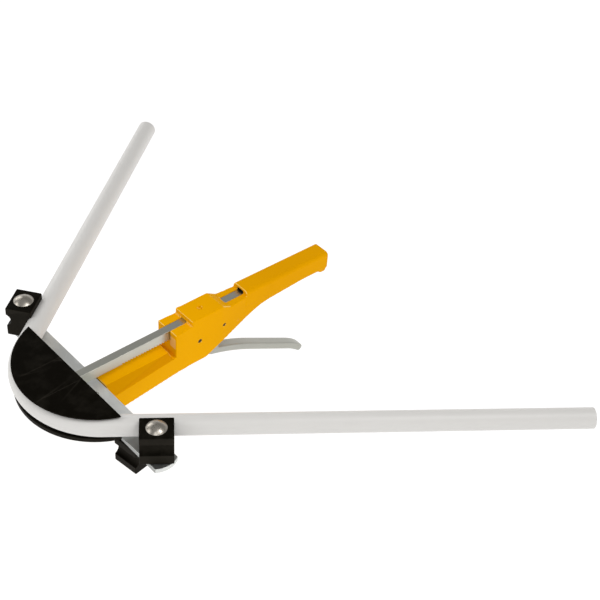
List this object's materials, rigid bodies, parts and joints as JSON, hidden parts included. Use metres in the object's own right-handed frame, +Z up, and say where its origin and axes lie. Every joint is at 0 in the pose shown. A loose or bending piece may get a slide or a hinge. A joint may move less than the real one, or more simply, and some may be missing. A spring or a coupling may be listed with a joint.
{
  "type": "tube bender",
  "caption": "Hand tube bender: a ratchet lever drives a toothed rod with a grooved former that bends a tube between swivelling slides on a cross beam.",
  "frame": {"origin": "on the flat underside of the body, straight below the centre of the former", "axes": "+X along the tool from the former to the grip, +Y towards the shorter leg of the tube, +Z up, out of the plane of the tube"},
  "size_m": [0.5279, 0.8442, 0.1798],
  "materials": {
    "yellow_paint": "smooth semi-gloss paint",
    "black_plastic": "satin",
    "zinc_steel": "zinc plated",
    "rod_steel": "satin",
    "bright_steel": "polished",
    "grey_lever": "satin",
    "white_tube": "smooth"
  },
  "bodies": {
    "body": {"body_casting": "yellow_paint", "cross_beam": "zinc_steel", "beam_screws": "zinc_steel", "slide_bolts": "bright_steel", "slide_washers": "zinc_steel", "slide_nuts": "zinc_steel", "lower_slide_bolts": "zinc_steel", "lower_slide_washers": "zinc_steel", "lower_slide_nuts": "zinc_steel", "guide_screw": "rod_steel", "lever_pin": "rod_steel", "lever_return_spring": "rod_steel", "spring_pin": "rod_steel", "holding_pawl_pin": "rod_steel", "holding_pawl_spring": "rod_steel"},
    "rod": {"push_rod": "rod_steel", "former": "black_plastic", "former_pin": "rod_steel", "rod_stop_pin": "rod_steel", "bent_tube": "white_tube"},
    "lever": {"lever": "grey_lever", "drive_pawl_pin": "rod_steel", "drive_pawl_spring": "rod_steel"},
    "drive_pawl": {"drive_pawl": "rod_steel"},
    "holding_pawl": {"holding_pawl": "rod_steel"},
    "slide_right": {"slide_right": "black_plastic"},
    "slide_left": {"slide_left": "black_plastic"},
    "lower_slide_right": {"lower_slide_right": "black_plastic"},
    "lower_slide_left": {"lower_slide_left": "black_plastic"}
  },
  "joints": [
    {"name": "rod_slide", "type": "slide", "parent": "body", "child": "rod", "axis": [1, 0, 0], "range_m": [0, 0.104]},
    {"name": "slide_left_swivel", "type": "hinge", "parent": "body", "child": "slide_left", "pos_m": [-0.0175, 0.13881, 0.057], "axis": [0, 0, 1], "range_deg": [0, 53.13]},
    {"name": "slide_right_swivel", "type": "hinge", "parent": "body", "child": "slide_right", "pos_m": [-0.0175, -0.13881, 0.057], "axis": [0, 0, 1], "range_deg": [-53.13, 0]},
    {"name": "lower_slide_left_swivel", "type": "hinge", "parent": "body", "child": "lower_slide_left", "pos_m": [-0.0175, 0.096, 0.007], "axis": [0, 0, 1], "continuous": true},
    {"name": "lower_slide_right_swivel", "type": "hinge", "parent": "body", "child": "lower_slide_right", "pos_m": [-0.0175, -0.096, 0.007], "axis": [0, 0, 1], "continuous": true},
    {"name": "lever_pivot", "type": "hinge", "parent": "body", "child": "lever", "pos_m": [0.141, 0, 0.033], "axis": [0, -1, 0], "range_deg": [0, 29], "stiffness_Nm_per_rad": 2, "springref_deg": -68.75},
    {"name": "drive_pawl_pivot", "type": "hinge", "parent": "lever", "child": "drive_pawl", "pos_m": [0.143, 0, 0.04075], "axis": [0, -1, 0], "range_deg": [-29, 0]},
    {"name": "holding_pawl_pivot", "type": "hinge", "parent": "body", "child": "holding_pawl", "pos_m": [0.181, 0, 0.039], "axis": [0, 1, 0], "range_deg": [-6, 6], "stiffness_Nm_per_rad": 0.05, "springref_deg": 11.46}
  ],
  "couplings": [
    {"joint": "slide_left_swivel", "follows": "rod_slide", "rad_per_m": 8.9163},
    {"joint": "slide_right_swivel", "follows": "rod_slide", "rad_per_m": -8.9163},
    {"joint": "drive_pawl_pivot", "follows": "lever_pivot", "ratio": -1}
  ]
}
